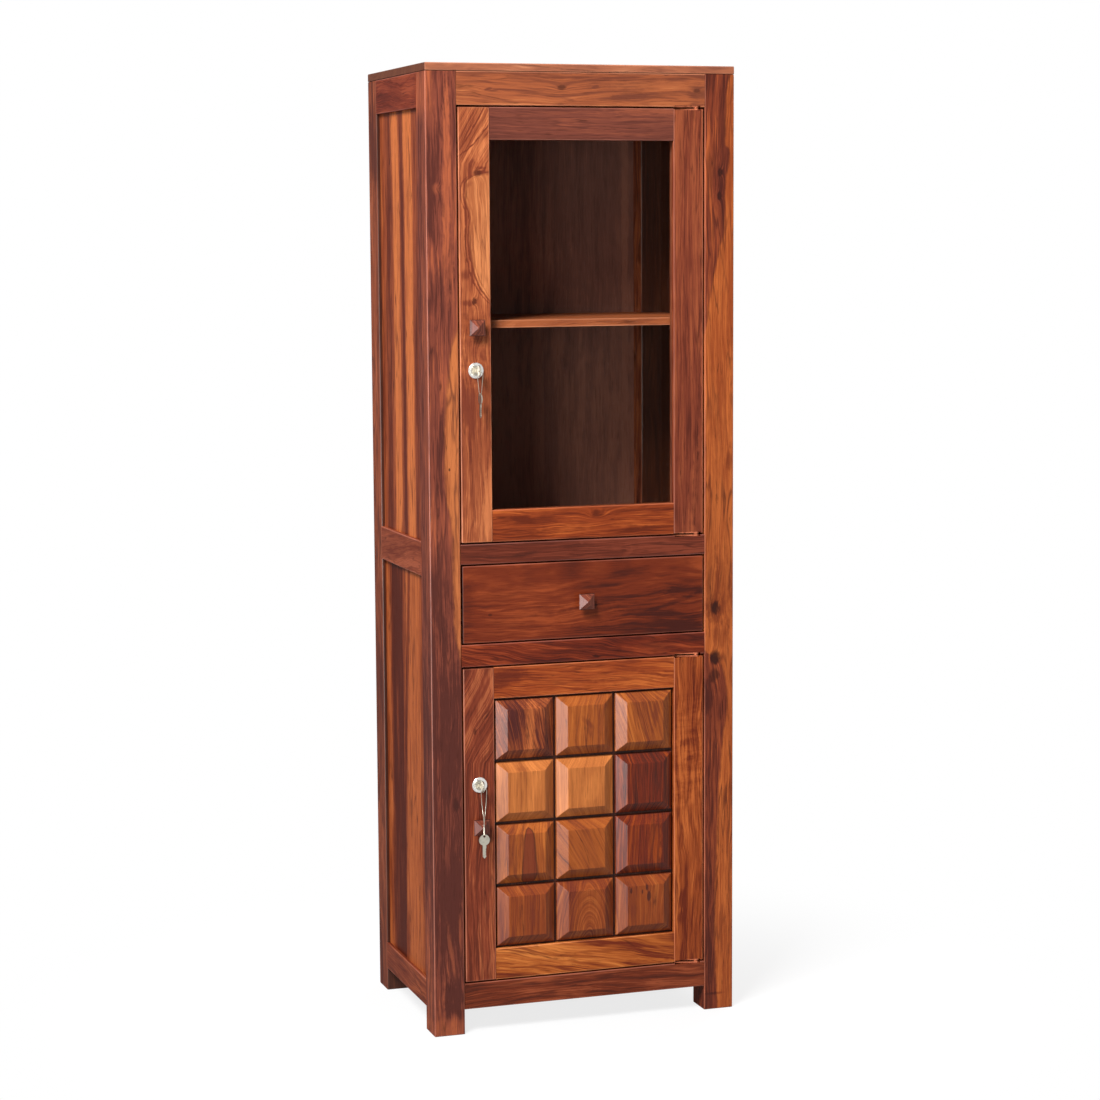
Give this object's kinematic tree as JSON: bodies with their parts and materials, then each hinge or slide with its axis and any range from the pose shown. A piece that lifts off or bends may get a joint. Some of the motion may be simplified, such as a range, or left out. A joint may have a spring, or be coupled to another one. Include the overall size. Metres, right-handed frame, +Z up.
{
  "type": "bar armoire",
  "caption": "Tall narrow rosewood bar armoire: glazed door with a shelf and stemware rack, a drawer, and a lower door of bevelled blocks.",
  "frame": {"origin": "on the floor, under the middle of the whole width and depth, keys included", "axes": "+X to the right of a viewer who faces the doors, +Y from the front to the back, +Z up"},
  "size_m": [0.61, 0.444, 1.83],
  "materials": {
    "post_wood": "satin lacquered rosewood, dark red-brown with orange streaks",
    "rail_wood": "satin lacquered rosewood",
    "top_wood": "satin lacquered rosewood, striped",
    "side_panel_wood": "satin lacquered rosewood boards with strong upright stripes",
    "back_wood": "plain stained boards",
    "shelf_wood": "satin lacquered rosewood",
    "upper_door_wood": "satin lacquered rosewood",
    "lower_door_wood": "satin lacquered rosewood",
    "block_wood": "satin lacquered rosewood, each block cut from another board",
    "drawer_front_wood": "satin lacquered rosewood, dark",
    "drawer_box_wood": "plain sanded wood",
    "knob_wood": "satin lacquered rosewood",
    "clear_glass": "clear float glass",
    "lock_chrome": "polished chrome plate",
    "key_nickel": "nickel plate",
    "hinge_steel": "plain steel, dulled"
  },
  "bodies": {
    "case": {"top_board": "top_wood", "front_left_post": "post_wood", "front_right_post": "post_wood", "back_left_post": "post_wood", "back_right_post": "post_wood", "front_top_rail": "rail_wood", "drawer_upper_rail": "rail_wood", "drawer_lower_rail": "rail_wood", "front_bottom_rail": "rail_wood", "back_top_rail": "rail_wood", "back_bottom_rail": "rail_wood", "left_top_rail": "rail_wood", "left_middle_rail": "rail_wood", "left_bottom_rail": "rail_wood", "right_top_rail": "rail_wood", "right_middle_rail": "rail_wood", "right_bottom_rail": "rail_wood", "left_upper_panel": "side_panel_wood", "left_lower_panel": "side_panel_wood", "right_upper_panel": "side_panel_wood", "right_lower_panel": "side_panel_wood", "back_panel": "back_wood", "upper_floor": "shelf_wood", "drawer_bearer": "shelf_wood", "bottom_board": "shelf_wood", "upper_shelf": "shelf_wood", "stemware_rack": "shelf_wood", "upper_door_top_pivot_pin_leaf": "hinge_steel", "upper_door_bottom_pivot_pin_leaf": "hinge_steel", "lower_door_top_pivot_pin_leaf": "hinge_steel", "lower_door_bottom_pivot_pin_leaf": "hinge_steel"},
    "upper_door": {"upper_door_lock_stile": "upper_door_wood", "upper_door_hinge_stile": "upper_door_wood", "upper_door_top_rail": "upper_door_wood", "upper_door_bottom_rail": "upper_door_wood", "door_glass": "clear_glass", "glazing_bead": "upper_door_wood", "upper_door_knob": "knob_wood", "upper_lock_body": "lock_chrome", "upper_door_top_pivot_door_leaf": "hinge_steel", "upper_door_bottom_pivot_door_leaf": "hinge_steel"},
    "lower_door": {"lower_door_lock_stile": "lower_door_wood", "lower_door_hinge_stile": "lower_door_wood", "lower_door_top_rail": "lower_door_wood", "lower_door_bottom_rail": "lower_door_wood", "block_panel": "block_wood", "lower_door_knob": "knob_wood", "lower_lock_body": "lock_chrome", "lower_door_top_pivot_door_leaf": "hinge_steel", "lower_door_bottom_pivot_door_leaf": "hinge_steel"},
    "drawer": {"drawer_front": "drawer_front_wood", "drawer_knob": "knob_wood", "drawer_left_side": "drawer_box_wood", "drawer_right_side": "drawer_box_wood", "drawer_back": "drawer_box_wood", "drawer_bottom": "drawer_box_wood"},
    "upper_lock": {"upper_lock_plug": "key_nickel"},
    "lower_lock": {"lower_lock_plug": "key_nickel"},
    "upper_spare": {"upper_spare_key": "key_nickel"},
    "lower_spare": {"lower_spare_key": "key_nickel"}
  },
  "joints": [
    {"name": "upper_door_hinge", "type": "hinge", "parent": "case", "child": "upper_door", "pos_m": [0.23, -0.176, 1.34675], "axis": [0, 0, 1], "range_deg": [0, 110]},
    {"name": "lower_door_hinge", "type": "hinge", "parent": "case", "child": "lower_door", "pos_m": [0.23, -0.176, 0.4035], "axis": [0, 0, 1], "range_deg": [0, 110]},
    {"name": "drawer_slide", "type": "slide", "parent": "case", "child": "drawer", "axis": [0, -1, 0], "range_m": [0, 0.28]},
    {"name": "upper_lock_turn", "type": "hinge", "parent": "upper_door", "child": "upper_lock", "pos_m": [-0.212, -0.184, 1.2655], "axis": [0, 1, 0], "range_deg": [0, 90]},
    {"name": "lower_lock_turn", "type": "hinge", "parent": "lower_door", "child": "lower_lock", "pos_m": [-0.212, -0.184, 0.482], "axis": [0, 1, 0], "range_deg": [0, 90]},
    {"name": "upper_keys_swing", "type": "hinge", "parent": "upper_lock", "child": "upper_spare", "pos_m": [-0.212, -0.2115, 1.2641], "axis": [-1, 0, 0], "range_deg": [-15, 90]},
    {"name": "lower_keys_swing", "type": "hinge", "parent": "lower_lock", "child": "lower_spare", "pos_m": [-0.212, -0.2115, 0.4806], "axis": [-1, 0, 0], "range_deg": [0, 90]}
  ]
}
